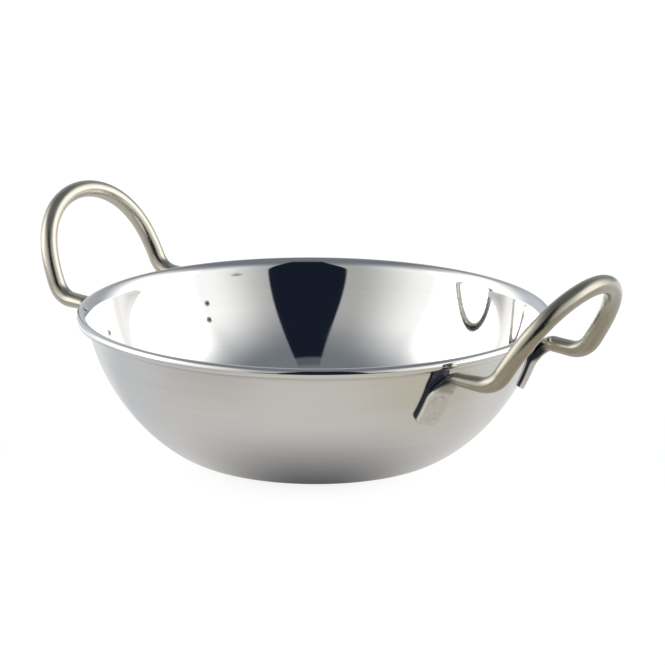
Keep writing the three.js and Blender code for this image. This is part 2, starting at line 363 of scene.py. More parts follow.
def tube_faces(rows, count, close_ends):
    """Quads between rows of count points each, wound so that row direction, then ring direction, faces outwards.

    The points are row by row. With close_ends, two further points close the first and the last row.
    """
    row, ring = np.meshgrid(np.arange(rows - 1), np.arange(count), indexing="ij")
    after = (ring + 1) % count
    quads = np.stack([row * count + ring, row * count + after,
                      (row + 1) * count + after, (row + 1) * count + ring], -1).reshape(-1, 4)
    if not close_ends:
        return [quads]
    ring = np.arange(count)
    after = (ring + 1) % count
    last = (rows - 1) * count
    first_pole = np.full(count, rows * count)
    first = np.stack([first_pole, after, ring], 1)
    second = np.stack([last + ring, last + after, first_pole + 1], 1)
    return [quads, first, second]


def revolve(profile, count):
    """A profile of radius and height turned about Z: (r cos a, r sin a, z), with a point on the axis at each end.

    Gives the points, the faces and the angle of each point.
    """
    angles = np.arange(count) / count * 2 * math.pi
    rows = profile[1:-1]
    x = rows[:, :1] * np.cos(angles)
    y = rows[:, :1] * np.sin(angles)
    z = np.repeat(rows[:, 1:], count, axis=1)
    points = np.stack([x, y, z], -1).reshape(-1, 3)
    poles = np.array([[0, 0, profile[0, 1]], [0, 0, profile[-1, 1]]])
    turned = np.concatenate([np.tile(angles, len(rows)), [0, 0]])
    return np.concatenate([points, poles]), tube_faces(len(rows), count, True), turned


def sheet_line(sizes):
    """The middle of the bowl's sheet as radius and height: level base, cubic wall, cubic flare, round curl."""
    half = sizes.sheet / 2
    rim = sizes.rim_diameter / 2
    base = sizes.base_diameter / 2
    rise = np.array([math.sin(WALL_LEAN), math.cos(WALL_LEAN)])
    inward = np.array([-rise[1], rise[0]])
    wall_top = np.array([rim - WALL_INSET, sizes.height - WALL_DROP]) + inward * half
    turn = np.linspace(CURL_START, CURL_END, CURL_STEPS)
    middle = np.array([rim - sizes.bead / 2, sizes.height - sizes.bead / 2])
    curl = middle + (sizes.bead / 2 - half) * np.stack([np.cos(turn), np.sin(turn)], 1)
    into_curl = np.array([math.sin(CURL_START), -math.cos(CURL_START)])
    level = np.stack([np.linspace(0, base, LEVEL_STEPS), np.full(LEVEL_STEPS, half)], 1)
    wall = bezier([level[-1], level[-1] + (BASE_PULL, 0), wall_top - rise * WALL_PULL, wall_top],
                  np.linspace(0, 1, WALL_STEPS))
    flare = bezier([wall_top, wall_top + rise * FLARE_PULL, curl[0] - into_curl * FLARE_PULL, curl[0]],
                   np.linspace(0, 1, FLARE_STEPS))
    return np.concatenate([level, wall[1:], flare[1:], curl[1:]])


def sheet_face(line, offset):
    """The middle line moved by an offset to its left: each point plus offset times the line's normal there."""
    run = unit(np.gradient(line, axis=0))
    face = line + offset * np.stack([-run[:, 1], run[:, 0]], 1)
    face[0, 0] = 0
    return face


def bowl_surface(sizes):
    """The bowl's closed skin: the sheet's outer face up to the curl's end, round its edge, and the inner face back.

    Gives the points, the faces and, at each point, how polished it is, the painted shade band on the outside wall
    just below the curl, and the unrolled place of the spin marks, which is (cos a, sin a, length along the
    profile).
    """
    line = sheet_line(sizes)
    half = sizes.sheet / 2
    outer = sheet_face(line, -half)
    inner = sheet_face(line, half)
    end = unit(line[-1] - line[-2])
    left = np.array([-end[1], end[0]])
    around = np.linspace(-math.pi / 2, math.pi / 2, EDGE_STEPS)[1:-1, None]
    edge = line[-1] + half * (np.cos(around) * end + np.sin(around) * left)
    profile = np.concatenate([outer, edge, inner[::-1]])
    points, faces, angles = revolve(profile, ROUND_STEPS)
    climb = lengths_along(profile)
    rows = np.arange(1, len(profile) - 1)
    row = np.concatenate([np.repeat(rows, ROUND_STEPS), [0, len(profile) - 1]])
    wall_top = sizes.height - WALL_DROP
    heights = profile[1:-1, 1]
    polish = np.where(rows >= len(outer), 1.0, smoothstep(heights, wall_top, wall_top + POLISH_RISE))
    polish = np.concatenate([np.repeat(polish, ROUND_STEPS), [0, 1]])
    spin = np.stack([np.cos(angles), np.sin(angles), climb[row]], 1)
    # Painted shade: a soft dark band on the outside wall just below the curl
    lip = sizes.height - sizes.bead
    painted_lip_shade = np.where(rows < len(outer) - CURL_STEPS, np.exp(-(((heights - lip) / LIP_SHADE) ** 2)), 0)
    painted_lip_shade = np.concatenate([np.repeat(painted_lip_shade, ROUND_STEPS), [0, 0]])
    return points, faces, {"polish": polish, "spin": spin, "painted_lip_shade": painted_lip_shade}


def wall_at(sizes, height):
    """The outside wall's radius and lean from upright at a height, read off the profile."""
    outer = sheet_face(sheet_line(sizes), -sizes.sheet / 2)
    wall = outer[:np.argmax(outer[:, 1] > sizes.height - WALL_DROP) + 1]
    slope = np.gradient(wall[:, 0]) / np.maximum(np.gradient(wall[:, 1]), 1e-9)
    radius = np.interp(height, wall[:, 1], wall[:, 0])
    return radius, math.atan(np.interp(height, wall[:, 1], slope))


def weld_spot(sizes, handle, side, row):
    """Where a weld crosses the wall's outside, for a handle on +X, and the wall's outward direction there.

    Row 0 is the upper weld and row 1 the lower; a part of a row is a place between or beyond them.
    """
    height = sizes.height - handle["weld_drop"] - row * WELD_PITCH
    radius, lean = wall_at(sizes, height)
    upper, lower = handle["weld_spread"]
    angle = math.asin(side * (upper + row * (lower - upper)) / radius)
    at = np.array([radius * math.cos(angle), radius * math.sin(angle), height])
    return at, unit(np.array([math.cos(angle), math.sin(angle), -math.tan(lean)]))


def turned(points, angle):
    """Points turned about Z by an angle."""
    c, s = math.cos(angle), math.sin(angle)
    return points @ np.array([[c, s, 0], [-s, c, 0], [0, 0, 1]])


def wire_line(sizes, handle):
    """The middle of half a handle's wire, from the foot's tail to the top of the loop, in even steps.

    It is a foot that follows the wall, a cubic arch to the rim, a straight leg, a quadratic low bend, and half a
    loop whose half width is spread * sqrt(1 - share^fullness) as share goes from 0 to 1 along the slope. Gives the
    points, the length along the wire at each, the length of the foot, and the wall's outward direction at its tail.
    """
    off_wall = FOOT_GAP + sizes.foot_thickness / 2
    rows = np.linspace(1 + FOOT_TAIL / WELD_PITCH, -FOOT_HEAD / WELD_PITCH, FOOT_STEPS)
    spots = [weld_spot(sizes, handle, 1, row) for row in rows]
    foot = np.array([at + out * off_wall for at, out in spots])
    head = foot[-1]
    rise = unit(foot[-1] - foot[-2])
    leg_thickness = sizes.wire + (sizes.foot_thickness - sizes.wire) * LEG_FLATNESS
    distance = sizes.bead / 2 + handle["crown_gap"] + leg_thickness / 2
    crown_radius = sizes.rim_diameter / 2 - sizes.bead / 2 + distance * math.cos(handle["crown_angle"])
    crown_spread = (handle["weld_spread"][0] + sizes.loop_spread) / 2
    crown = np.array([math.sqrt(crown_radius**2 - crown_spread**2), crown_spread,
                      sizes.height - sizes.bead / 2 + distance * math.sin(handle["crown_angle"])])
    corner = np.array([sizes.rim_diameter / 2 + LEG_REACH, sizes.loop_spread, sizes.height - handle["bend_drop"]])
    out = unit(corner - crown)
    first, last = handle["arch_pulls"]
    arch = bezier([head, head + rise * first, crown - out * last, crown], np.linspace(0, 1, ARCH_STEPS))
    share = np.sin(np.linspace(0, math.pi / 2, LOOP_STEPS))
    slope = np.array([math.cos(handle["slope"]), 0, math.sin(handle["slope"])])
    spread = sizes.loop_spread * np.sqrt(np.maximum(1 - share**LOOP_FULLNESS, 0))
    loop = corner * (1, 0, 1) + share[:, None] * sizes.loop_length * slope + spread[:, None] * (0, 1, 0)
    begin = np.argmax(np.linalg.norm(loop - corner, axis=1) > BEND_PULL)
    bend = bezier([corner - out * BEND_PULL, corner, loop[begin]], np.linspace(0, 1, BEND_STEPS))
    line = np.concatenate([foot[:-1], arch, bend, loop[begin + 1:]])
    along = lengths_along(line)
    edge = FOOT_EDGE * (1 - np.cos(np.linspace(0, math.pi / 2, TAIL_STEPS)))[:-1]
    even = np.concatenate([edge, np.arange(FOOT_EDGE, along[-1], WIRE_STEP), along[-1:]])
    middle = np.stack([np.interp(even, along, line[:, k]) for k in range(3)], 1)
    return middle, even, lengths_along(foot)[-1], spots[0][1]


def wire_directions(sizes, handle, middle, along, flat_end, foot_out):
    """The directions across the wire and outwards from the dish, at each step along its middle.

    They turn from the wall's own directions at the foot to the loop's own at its top, and stay square to the wire.
    """
    run = np.gradient(middle, along, axis=0)
    run[-1] = (0, -1, 0)
    run = unit(run)
    foot_side = unit(np.cross(run[0], foot_out))
    turn = smoothstep(along, flat_end, flat_end + TAPER_LENGTH)[:, None]
    side = unit(foot_side * (1 - turn) + np.array([0, 1, 0]) * turn)
    loop_out = np.array([math.sin(handle["slope"]), 0, -math.cos(handle["slope"])])
    top = middle[-1, 2]
    in_loop = smoothstep(middle[:, 2], top * (1 - LOOP_TURN) + sizes.height * LOOP_TURN, top)[:, None]
    outward = np.cross(side, run) * (1 - in_loop) + loop_out * in_loop
    outward = unit(outward - run * (outward * run).sum(1, keepdims=True))
    return np.cross(run, outward), outward


def wire_widths(sizes, along, flat_end):
    """How flat the wire is, from 1 at the foot to 0 in the loop, and its half width and half thickness.

    The foot's tail has rounded corners, r - sqrt(r^2 - (r - length)^2) narrower, and is thinned in the same way.
    """
    neck = 1 - smoothstep(along, flat_end, flat_end + NECK_LENGTH)
    leg = 1 - smoothstep(along, flat_end + NECK_LENGTH, flat_end + TAPER_LENGTH)
    flat = neck * (1 - LEG_FLATNESS) + leg * LEG_FLATNESS
    short = np.maximum(FOOT_CORNER - along, 0)
    corner = FOOT_CORNER - np.sqrt(FOOT_CORNER**2 - short**2)
    thin = np.maximum(FOOT_EDGE - along, 0)
    edge = FOOT_EDGE - np.sqrt(np.maximum(FOOT_EDGE**2 - thin**2, 0))
    width = (sizes.wire + (sizes.foot_width - sizes.wire) * flat) / 2 - corner
    thickness = (sizes.wire + (sizes.foot_thickness - sizes.wire) * flat) / 2 - edge
    return flat, width[:, None], thickness[:, None]


def wire_section(hammered, width, thickness):
    """The section's points across and through the wire, at each step along it.

    It goes from a bar with bevelled edges at the hammered foot to the ellipse (w cos a, t sin a) along the taper.
    The bar is (w - b) clip((1 - f) / face) + b cos g across and (t - b) clip(f / side) + b sin g through, where f
    is the share of a quarter turn and g the turn of the bevel of radius b. Gives the cosine and sine of a, f, and
    the two places.
    """
    angles = -(np.arange(WIRE_ROUND_STEPS) + 0.5) / WIRE_ROUND_STEPS * 2 * math.pi
    c, s = np.cos(angles)[None], np.sin(angles)[None]
    quarter = np.arctan2(np.abs(s), np.abs(c)) * 2 / math.pi
    bevel = np.minimum(FOOT_BEVEL, BEVEL_SHARE * thickness)
    around = np.clip((quarter - BAR_SIDE) / BAR_BEVEL, 0, 1) * math.pi / 2
    bar_x = (width - bevel) * np.clip((1 - quarter) / BAR_FACE, 0, 1) + bevel * np.cos(around)
    bar_y = (thickness - bevel) * np.clip(quarter / BAR_SIDE, 0, 1) + bevel * np.sin(around)
    x = c * width * (1 - hammered) + np.sign(c) * bar_x * hammered
    y = s * thickness * (1 - hammered) + np.sign(s) * bar_y * hammered
    return c, s, quarter, x, y


def weld_dents_and_shade(x, front, along, flat_end):
    """The dents that the welds leave in a foot's front, as depths, and the dark rings round them, partly dull weld
    marks and partly painted shade at the dents' edges, as a mask.

    A dent is depth * exp(-(r / reach)^2) and a ring exp(-((r - radius) / width)^2), where r is the distance from
    the weld. Each ring fades out below its weld.
    """
    dents, weld_mark_shade = np.zeros_like(x), np.zeros_like(x)
    for row, radius, below, strength in WELD_MARK_SHADES:
        at = along[:, None] - (flat_end - FOOT_HEAD - row * WELD_PITCH)
        off = np.hypot(at, x)
        dents = dents + DENT_DEPTH * np.exp(-((off / DENT_REACH) ** 2)) * front
        ring = np.exp(-(((off - radius) / MARK_WIDTH) ** 2)) * smoothstep(at, -below, MARK_FADE - below)
        weld_mark_shade = weld_mark_shade + strength * ring * front
    return dents, weld_mark_shade


def wire_surface(sizes, handle):
    """A handle's closed skin: the section carried along the wire's middle, and its mirror image in Y.

    Gives the points, the faces and, at each point, the place on the straightened wire, how flat the wire is there,
    how deep it is in the painted shade where it meets the wall, the dark rings round the welds on the foot's front,
    partly dull weld marks and partly painted shade, and the painted highlight on the foot's outer bevel.
    """
    middle, along, flat_end, foot_out = wire_line(sizes, handle)
    across, outward = wire_directions(sizes, handle, middle, along, flat_end, foot_out)
    flat, width, thickness = wire_widths(sizes, along, flat_end)
    hammered = smoothstep(flat, HAMMERED_FROM, 1)[:, None]
    c, s, quarter, x, y = wire_section(hammered, width, thickness)
    through = y / thickness
    dents, weld_mark_shade = weld_dents_and_shade(x, smoothstep(through, *FRONT_FACE), along, flat_end)
    # Painted highlight: a bright band along the foot's outer bevel
    bright = (quarter - BAR_SIDE - BAR_BEVEL / 2) / BRIGHT_EDGE
    edge = hammered * np.exp(-(bright**2)) * ((c > 0) & (s > 0))
    rim = sizes.rim_diameter / 2
    reach = np.hypot(middle[:, 0], middle[:, 1])
    # Painted shade: the wire's wallward side is darkened near the wall, where the gap between a foot and the wall
    # falls in shade
    near_wall = 1 - smoothstep(reach, rim - CREVICE_INSET, rim + CREVICE_REACH)[:, None]
    wallward = 0.5 - 0.5 * through - CREVICE_INNER * hammered * (c < 0) * (1 - np.abs(through))
    shallow = CREVICE_EDGE + CREVICE_FOOT * smoothstep(flat, *FOOT_FLATNESS)[:, None]
    crevice_shade = near_wall * smoothstep(wallward - shallow, 0, CREVICE_BLEND)
    y = y - hammered * x**2 / sizes.rim_diameter - dents
    rings = middle[:, None] + x[..., None] * across[:, None] + y[..., None] * outward[:, None]
    rows = np.concatenate([rings, rings[:-1][::-1] * (1, -1, 1)])
    ends = np.array([middle[0], middle[0] * (1, -1, 1)])
    points = np.concatenate([rows.reshape(-1, 3), ends])
    both = np.concatenate([along, 2 * along[-1] - along[:-1][::-1]])
    total, count, radius = len(both), WIRE_ROUND_STEPS, sizes.wire / 2
    straight = np.stack([np.tile(radius * c[0], total), np.tile(radius * s[0], total), np.repeat(both, count)], 1)
    flats = np.concatenate([flat, flat[:-1][::-1]])
    values = {
        "straight": np.concatenate([straight, [[0, 0, 0], [0, 0, both[-1]]]]),
        "flat": np.concatenate([np.repeat(flats, count), [1, 1]]),
    }
    for key, value in {"crevice_shade": crevice_shade, "weld_mark_shade": weld_mark_shade, "edge": edge}.items():
        values[key] = np.concatenate([value.ravel(), value[:-1][::-1].ravel(), [0, 0]])
    return turned(points, handle["turn"]), tube_faces(total, count, True), values


def weld_surface(sizes, handle, side, row):
    """A weld's closed skin: a low dome with a dimple on the inner wall, turned about the weld's own axis.

    The profile is radius against depth from the wall's outside, outwards positive, from the inner dome to the
    flat end in the foot.
    """
    at, outward = weld_spot(sizes, handle, side, row)
    radius = sizes.weld / 2
    share = np.linspace(0, 1, WELD_STEPS)
    dome = -sizes.sheet - WELD_CROWN * (1 - share**2) * (WELD_DIMPLE + WELD_RING * share)
    inner = np.stack([share * radius, dome], 1)
    outer = np.array([[radius, FOOT_GAP + WELD_BITE], [0, FOOT_GAP + WELD_BITE]])
    points, faces, _ = revolve(np.concatenate([inner, outer]), WELD_ROUND_STEPS)
    reach = np.linalg.norm(points[:, :2], axis=1) / radius
    first = unit(np.cross((0, 0, 1), outward))
    second = np.cross(outward, first)
    placed = at + points @ np.stack([first, second, outward])
    return turned(placed, handle["turn"]), faces, {"reach": reach}


def add_node(tree, kind, inputs=None, **settings):
    """A node with its settings and its inputs, each a value or a socket to link from."""
    made = tree.nodes.new(kind)
    for key, value in settings.items():
        setattr(made, key, value)
    for key, value in (inputs or {}).items():
        if isinstance(value, bpy.types.NodeSocket):
            tree.links.new(value, made.inputs[key])
        else:
            made.inputs[key].default_value = value
    return made


def maths(tree, operation, first, second=0.0, third=0.0):
    """The output of a Math node."""
    return add_node(tree, "ShaderNodeMath", {0: first, 1: second, 2: third}, operation=operation).outputs[0]


def ramp(tree, value, low, high, start=0.0, end=1.0):
    """A value carried smoothly from one range to another."""
    return add_node(tree, "ShaderNodeMapRange", {0: value, 1: low, 2: high, 3: start, 4: end},
                    interpolation_type="SMOOTHSTEP").outputs[0]


def line(tree, value, low, high, start=0.0, end=1.0):
    """A value carried straight from one range to another, and held at its ends."""
    return add_node(tree, "ShaderNodeMapRange", {0: value, 1: low, 2: high, 3: start, 4: end}).outputs[0]


def blend(tree, factor, first, second):
    """Two colours mixed by a factor."""
    made = add_node(tree, "ShaderNodeMix", {0: factor, 6: first, 7: second}, data_type="RGBA")
    return made.outputs[2]


def read(tree, name, output):
    """An attribute of the mesh."""
    return add_node(tree, "ShaderNodeAttribute", attribute_name=name).outputs[output]


def colour4(colour):
    """A colour of three numbers with full opacity."""
    return (*colour, 1.0)


def fine_lines_group():
    """Fine polishing lines: noise squeezed across the lines and stretched along them, at two sizes.

    Place is the surface unrolled along the lines' own direction; Squeeze is the scale of each axis.
    """
    group = bpy.data.node_groups.get("fine_lines")
    if group:
        return group
    group = bpy.data.node_groups.new("fine_lines", "ShaderNodeTree")
    for name in ("Place", "Squeeze"):
        group.interface.new_socket(name, in_out="INPUT", socket_type="NodeSocketVector")
    group.interface.new_socket("Lines", in_out="OUTPUT", socket_type="NodeSocketFloat")
    start = add_node(group, "NodeGroupInput")
    sockets = {0: start.outputs[0], 1: start.outputs[1]}
    place = add_node(group, "ShaderNodeVectorMath", sockets, operation="MULTIPLY").outputs[0]
    fine = add_node(group, "ShaderNodeTexNoise", {"Vector": place, "Scale": 1.0, "Detail": 4.0, "Roughness": 0.7})
    broad = add_node(group, "ShaderNodeTexNoise", {"Vector": place, "Scale": 0.21, "Detail": 2.0})
    mixed = maths(group, "MULTIPLY_ADD", fine.outputs[0], 0.6, maths(group, "MULTIPLY", broad.outputs[0], 0.4))
    add_node(group, "NodeGroupOutput", {0: ramp(group, mixed, 0.3, 0.7)})
    return group


def smudges_group():
    """Soft smudges of handling: low noise of the place, raised to a patchy mask."""
    group = bpy.data.node_groups.get("smudges")
    if group:
        return group
    group = bpy.data.node_groups.new("smudges", "ShaderNodeTree")
    group.interface.new_socket("Size", in_out="INPUT", socket_type="NodeSocketFloat")
    group.interface.new_socket("Mask", in_out="OUTPUT", socket_type="NodeSocketFloat")
    start = add_node(group, "NodeGroupInput")
    place = add_node(group, "ShaderNodeTexCoord").outputs["Object"]
    scale = maths(group, "DIVIDE", 1.0, start.outputs[0])
    noise = add_node(group, "ShaderNodeTexNoise",
                     {"Vector": place, "Scale": scale, "Detail": 3.0, "Distortion": 0.4})
    add_node(group, "NodeGroupOutput", {0: ramp(group, noise.outputs[0], 0.42, 0.72)})
    return group


def new_material(name):
    """An empty node material with a metal shader, and that shader."""
    material = bpy.data.materials.new(name)
    material.use_nodes = True
    material.node_tree.nodes.clear()
    shader = add_node(material.node_tree, "ShaderNodeBsdfPrincipled", {"Metallic": 1.0})
    add_node(material.node_tree, "ShaderNodeOutputMaterial", {0: shader.outputs[0]})
    return material, shader


def group_node(tree, group, inputs):
    """The output of a node group placed in a tree."""
    return add_node(tree, "ShaderNodeGroup", inputs, node_tree=group).outputs[0]


def dot(tree, vector, direction):
    """The output of a Vector Math node that measures a vector along a direction."""
    made = add_node(tree, "ShaderNodeVectorMath", {0: vector, 1: direction}, operation="DOT_PRODUCT")
    return made.outputs["Value"]


def times(colour, share):
    """A colour of three numbers made darker by a share, with full opacity."""
    return colour4(tuple(share * x for x in colour))


def bowl_material(finish):
    """Pressed steel: mirror polish inside and on the curl, softer outside, with spin marks round the axis.

    Where steel is seen in steel it is a painted reflection, with its own colour on each side, and past the second
    bounce it is a painted plain grey glow. Just below the curl the outside wall has a painted shade.
    """
    material, shader = new_material("polished_steel")
    tree = material.node_tree
    polish = read(tree, "polish", "Fac")
    spin = read(tree, "spin", "Vector")
    lines = group_node(tree, fine_lines_group(), {"Place": spin, "Squeeze": (2.2, 2.2, 2600.0)})
    smudge = group_node(tree, smudges_group(), {"Size": 0.02})
    low = maths(tree, "MULTIPLY_ADD", polish, finish.inside_roughness - finish.outside_roughness,
                finish.outside_roughness)
    varied = maths(tree, "MULTIPLY", low, maths(tree, "MULTIPLY_ADD", smudge, 0.4, 0.85))
    rough = maths(tree, "MULTIPLY", varied, maths(tree, "MULTIPLY_ADD", lines, 0.3, 0.85))
    tree.links.new(rough, shader.inputs["Roughness"])
    bands = group_node(tree, fine_lines_group(), {"Place": spin, "Squeeze": (1.4, 1.4, 420.0)})
    depth = add_node(tree, "ShaderNodeLightPath").outputs["Ray Depth"]
    first = blend(tree, bands, times(finish.bowl_colour, 0.95), colour4(finish.bowl_colour))
    # Painted shade: the outside wall painted half as bright just below the curl
    first = blend(tree, read(tree, "painted_lip_shade", "Fac"), first, times(finish.bowl_colour, 0.5))
    # Painted reflection: past the first bounce the bowl takes a painted colour by side, and past the second it
    # glows a plain grey
    again = maths(tree, "MINIMUM", depth, 1.0)
    aside = dot(tree, add_node(tree, "ShaderNodeTexCoord").outputs["Object"], RIGHT)
    second = blend(tree, ramp(tree, aside, -0.014, 0.0), colour4(SECOND_LEFT), colour4(SECOND_RIGHT))
    tree.links.new(blend(tree, again, first, second), shader.inputs["Base Color"])
    deep = maths(tree, "GREATER_THAN", depth, 1.5)
    shader.inputs["Emission Color"].default_value = colour4(LATER_GLOW)
    tree.links.new(deep, shader.inputs["Emission Strength"])
    return material


def wire_material(finish):
    """Satin drawn wire with fine lines along it, painted paler on the left handle, as if more light falls on it.

    The hammered feet are brighter, with dark rings round the welds that are partly dull weld marks and partly
    painted shade, a painted highlight on the outer bevel, and painted shade where they meet the wall.
    """
    material, shader = new_material("satin_wire")
    tree = material.node_tree
    flat = read(tree, "flat", "Fac")
    lines = group_node(tree, fine_lines_group(), {"Place": read(tree, "straight", "Vector"),
                                                  "Squeeze": (4200.0, 4200.0, 1300.0)})
    smudge = group_node(tree, smudges_group(), {"Size": 0.008})
    rough = maths(tree, "MULTIPLY", finish.wire_roughness, maths(tree, "MULTIPLY_ADD", lines, 0.4, 0.8))
    rough = maths(tree, "MULTIPLY_ADD", smudge, 0.05, rough)
    rough = maths(tree, "MULTIPLY", rough, ramp(tree, flat, 0.7, 0.95, 1.0, 0.75))
    edge = read(tree, "edge", "Fac")
    rough = maths(tree, "MULTIPLY_ADD", edge, 0.3, rough)
    tree.links.new(rough, shader.inputs["Roughness"])
    place = add_node(tree, "ShaderNodeTexCoord").outputs["Object"]
    # Painted light: the wire is painted paler towards the left handle, as if more light falls there
    towards_right = ramp(tree, add_node(tree, "ShaderNodeSeparateXYZ", {0: place}).outputs["X"], -0.07, 0.07)
    steel = blend(tree, towards_right, colour4(finish.left_wire_colour), colour4(finish.wire_colour))
    drawn = blend(tree, maths(tree, "MULTIPLY_ADD", lines, -0.16, 0.16), steel, (0.0, 0.0, 0.0, 1.0))
    mottle = group_node(tree, smudges_group(), {"Size": 0.0009})
    patchy = maths(tree, "MULTIPLY_ADD", mottle, 0.45, 0.25)
    # Dark rings round the welds, partly dull weld marks and partly painted shade at the dents' edges
    mark_and_shade = maths(tree, "MULTIPLY_ADD", read(tree, "weld_mark_shade", "Fac"), patchy, maths(tree, "MULTIPLY", mottle, 0.25))
    foot = blend(tree, mark_and_shade, colour4(finish.foot_colour), times(finish.foot_colour, 0.55))
    hammered = blend(tree, ramp(tree, flat, 0.62, 0.92), drawn, foot)
    # Painted highlight: the foot's outer bevel painted near white
    hammered = blend(tree, edge, hammered, colour4(BEVEL_HIGHLIGHT))
    # Painted shade: near-black where a foot meets the wall
    colour = blend(tree, read(tree, "crevice_shade", "Fac"), hammered, colour4(finish.crevice_shade_colour))
    tree.links.new(colour, shader.inputs["Base Color"])
    bump = add_node(tree, "ShaderNodeBump", {"Strength": 0.1, "Distance": 0.0001, "Height": lines})
    tree.links.new(bump.outputs[0], shader.inputs["Normal"])
    return material


def weld_material(finish):
    """Heat-marked weld: dark in the middle, straw at the edge."""
    material, shader = new_material("weld_steel")
    tree = material.node_tree
    reach = read(tree, "reach", "Fac")
    smudge = group_node(tree, smudges_group(), {"Size": 0.0006})
    edge = ramp(tree, reach, 0.25, 1.05)
    colour = blend(tree, edge, colour4(finish.weld_colour), colour4(WELD_RIM_COLOUR))
    tree.links.new(colour, shader.inputs["Base Color"])
    tree.links.new(maths(tree, "MULTIPLY_ADD", smudge, 0.2, 0.35), shader.inputs["Roughness"])
    return material


def fit_piece(piece, material, node):
    """Gives a finished piece its material and its body, and hides the solid that it stands for."""
    piece.data.materials.append(material)
    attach(piece, BODY)
    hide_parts(node)


class DISH_OT_bowl(bpy.types.Operator):
    """Build the pressed bowl with its curled rim"""

    bl_idname = "dish.bowl"
    bl_label = "Bowl"

    def execute(self, context):
        points, faces, values = bowl_surface(context.scene.dish_sizes)
        piece = put_mesh("pressed_bowl", points, faces, values)
        fit_piece(piece, bowl_material(context.scene.dish_finish), "bowl")
        return {"FINISHED"}


class DISH_OT_handles(bpy.types.Operator):
    """Build the two wire handles"""

    bl_idname = "dish.handles"
    bl_label = "Handles"

    def execute(self, context):
        material = wire_material(context.scene.dish_finish)
        for name, handle in HANDLES.items():
            points, faces, values = wire_surface(context.scene.dish_sizes, handle)
            piece = put_mesh(f"wire_handle_{name}", points, faces, values)
            fit_piece(piece, material, f"handle_{name}")
        return {"FINISHED"}


class DISH_OT_welds(bpy.types.Operator):
    """Build the eight spot welds"""

    bl_idname = "dish.welds"
    bl_label = "Welds"

    def execute(self, context):
        material = weld_material(context.scene.dish_finish)
        for name, handle in HANDLES.items():
            for side in (-1, 1):
                end = "front" if side * math.cos(handle["turn"]) < 0 else "back"
                for row, level in enumerate(("upper", "lower")):
                    points, faces, values = weld_surface(context.scene.dish_sizes, handle, side, row)
                    piece = put_mesh(f"spot_{name}_{end}_{level}", points, faces, values)
                    fit_piece(piece, material, f"weld_{name}_{end}_{level}")
        return {"FINISHED"}


def bearings(tree, way):
    """The azimuth of a direction in degrees, 0 at the studio's front and growing to the right."""
    return maths(tree, "DEGREES", maths(tree, "ARCTAN2", dot(tree, way, RIGHT), dot(tree, way, FRONT)))


def floor_material(stage):
    """The white table: white to the camera, with the dish's shadow kept, and grey to the steel.

    What the steel sees is painted light and shade: a painted shadow, darkest in front of the base, warmer further
    out and on the right, cooler on the left and white behind, and it ends at the table's edge in front. Azimuths
    are in degrees, and reaches in metres.
    """
    material = bpy.data.materials.new("white_table")
    material.use_nodes = True
    tree = material.node_tree
    tree.nodes.clear()
    place = add_node(tree, "ShaderNodeTexCoord").outputs["Object"]
    turn = bearings(tree, place)
    out = add_node(tree, "ShaderNodeVectorMath", {0: place}, operation="LENGTH").outputs["Value"]
    facing = ramp(tree, maths(tree, "ABSOLUTE", turn), 64.0, 4.0)
    warmth = maths(tree, "MULTIPLY", ramp(tree, out, 0.06, 0.2), ramp(tree, turn, -85.0, -15.0, 0.2, 1.0))
    tone = blend(tree, warmth, colour4(stage.floor_colour), colour4(stage.front_colour))
    yellow = maths(tree, "MULTIPLY", ramp(tree, turn, 5.0, 38.0), ramp(tree, turn, 84.0, 54.0))
    yellow = maths(tree, "MULTIPLY", yellow, ramp(tree, out, 0.055, 0.1))
    tone = blend(tree, yellow, tone, colour4(TABLE_RIGHT))
    tone = blend(tree, ramp(tree, turn, 54.0, 84.0), tone, colour4(TABLE_FAR_RIGHT))
    dimmer = maths(tree, "MULTIPLY", ramp(tree, turn, -82.0, -54.0), ramp(tree, turn, -10.0, -36.0))
    dimmer = maths(tree, "MULTIPLY", dimmer, ramp(tree, out, 0.068, 0.125))
    tone = blend(tree, dimmer, tone, colour4(TABLE_LEFT))
    tone = blend(tree, ramp(tree, turn, -40.0, -85.0), tone, colour4(TABLE_FAR_LEFT))
    white = blend(tree, ramp(tree, out, 0.15, 0.24), colour4(TABLE_BEHIND), colour4(TABLE_FAR_BEHIND))
    tone = blend(tree, ramp(tree, maths(tree, "ABSOLUTE", turn), 92.0, 122.0), tone, white)
    # Painted shadow that the steel sees on the table in front of the base
    shadow = maths(tree, "MULTIPLY", maths(tree, "MULTIPLY", ramp(tree, out, 0.078, 0.036), facing), stage.shadow)
    ahead = ramp(tree, maths(tree, "ABSOLUTE", maths(tree, "SUBTRACT", turn, 4.0)), 36.0, 28.0)
    beyond = maths(tree, "MULTIPLY", ramp(tree, out, 0.36, 0.48), ahead)
    tone = blend(tree, maths(tree, "MAXIMUM", shadow, beyond), tone, colour4(stage.opening_colour))
    reflected = add_node(tree, "ShaderNodeEmission", {"Color": tone})
    path = add_node(tree, "ShaderNodeLightPath")
    in_steel = maths(tree, "MAXIMUM", path.outputs["Is Glossy Ray"], path.outputs["Is Transmission Ray"])
    lit = add_node(tree, "ShaderNodeBsdfDiffuse", {"Color": colour4(TABLE_GREY)})
    seen = maths(tree, "MULTIPLY", path.outputs["Is Camera Ray"], TABLE_WHITE)
    glow = add_node(tree, "ShaderNodeEmission", {"Strength": seen})
    both = add_node(tree, "ShaderNodeAddShader", {0: lit.outputs[0], 1: glow.outputs[0]})
    mixed = add_node(tree, "ShaderNodeMixShader", {0: in_steel, 1: both.outputs[0], 2: reflected.outputs[0]})
    add_node(tree, "ShaderNodeOutputMaterial", {0: mixed.outputs[0]})
    return material


